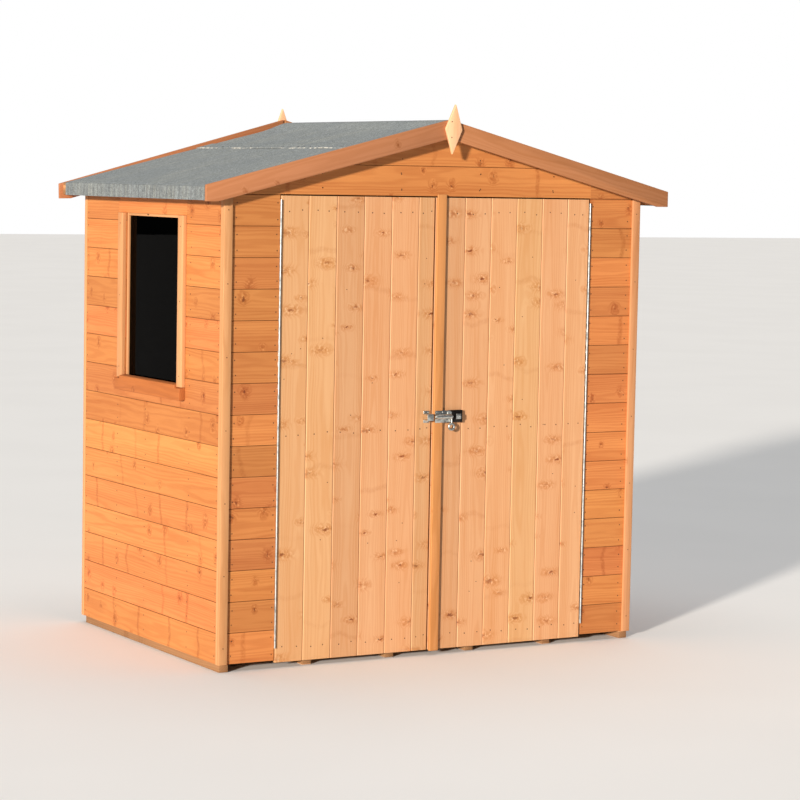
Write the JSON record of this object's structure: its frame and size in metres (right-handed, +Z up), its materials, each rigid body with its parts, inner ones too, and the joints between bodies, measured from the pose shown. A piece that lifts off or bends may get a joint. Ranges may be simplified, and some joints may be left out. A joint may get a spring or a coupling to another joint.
{
  "type": "wooden garden shed",
  "caption": "Small apex garden shed with shiplap walls, felted pitched roof, hinged double doors with a sliding bolt, one fixed side window, bargeboards and diamond finials on timber bearers.",
  "frame": {"origin": "centre of the footprint, on the ground under the bearers", "axes": "+Z up; -Y towards the doors; +X to the right seen from in front of the doors"},
  "size_m": [1.992, 1.338, 2.0567],
  "materials": {
    "floor_timber": "sawn",
    "wall_boards": "dip-stained planed softwood",
    "frame_timber": "sawn",
    "trim_timber": "dip-stained planed softwood",
    "glazing": "clear sheet",
    "roof_boards": "planed",
    "roof_felt": "grey mineral grit on bitumen felt",
    "barge_timber": "dip-stained planed softwood",
    "door_boards": "dip-stained planed softwood",
    "hinge_steel": "plated",
    "zinc_plate": "bright zinc plate",
    "dark_steel": "dark lacquer"
  },
  "bodies": {
    "shed": {"bearers": "floor_timber", "floor": "floor_timber", "front_panel_left": "wall_boards", "front_panel_right": "wall_boards", "front_gable": "wall_boards", "front_frame": "frame_timber", "left_wall": "wall_boards", "right_wall": "wall_boards", "back_wall": "wall_boards", "left_frame": "frame_timber", "right_frame": "frame_timber", "back_frame": "frame_timber", "corner_trim_front_left": "trim_timber", "corner_trim_front_right": "trim_timber", "corner_trim_back_left": "trim_timber", "corner_trim_back_right": "trim_timber", "window_trims": "trim_timber", "window_head": "wall_boards", "window_sill": "trim_timber", "window_frame": "trim_timber", "window_pane": "glazing", "roof_panel_left": "roof_boards", "roof_panel_right": "roof_boards", "roof_battens": "frame_timber", "felt_left": "roof_felt", "felt_right": "roof_felt", "bargeboard_front_left": "barge_timber", "bargeboard_front_right": "barge_timber", "bargeboard_back_left": "barge_timber", "bargeboard_back_right": "barge_timber", "finial_front": "barge_timber", "finial_back": "barge_timber", "left_hinge": "hinge_steel", "right_hinge": "hinge_steel"},
    "left_leaf": {"left_door": "door_boards", "left_door_ledges": "frame_timber", "left_door_hinge": "hinge_steel", "latch_keep": "zinc_plate"},
    "right_leaf": {"right_door": "door_boards", "right_door_ledges": "frame_timber", "right_door_hinge": "hinge_steel", "cover_strip": "trim_timber", "latch_body": "zinc_plate", "latch_case": "dark_steel"},
    "bolt": {"latch_bolt": "zinc_plate"}
  },
  "joints": [
    {"name": "left_door_swing", "type": "hinge", "parent": "shed", "child": "left_leaf", "pos_m": [-0.6695, -0.604, 0.9], "axis": [0, 0, -1], "range_deg": [0, 150]},
    {"name": "right_door_swing", "type": "hinge", "parent": "shed", "child": "right_leaf", "pos_m": [0.6695, -0.604, 0.9], "axis": [0, 0, 1], "range_deg": [0, 150]},
    {"name": "bolt_slide", "type": "slide", "parent": "right_leaf", "child": "bolt", "axis": [-1, 0, 0], "range_m": [0, 0.036]}
  ]
}
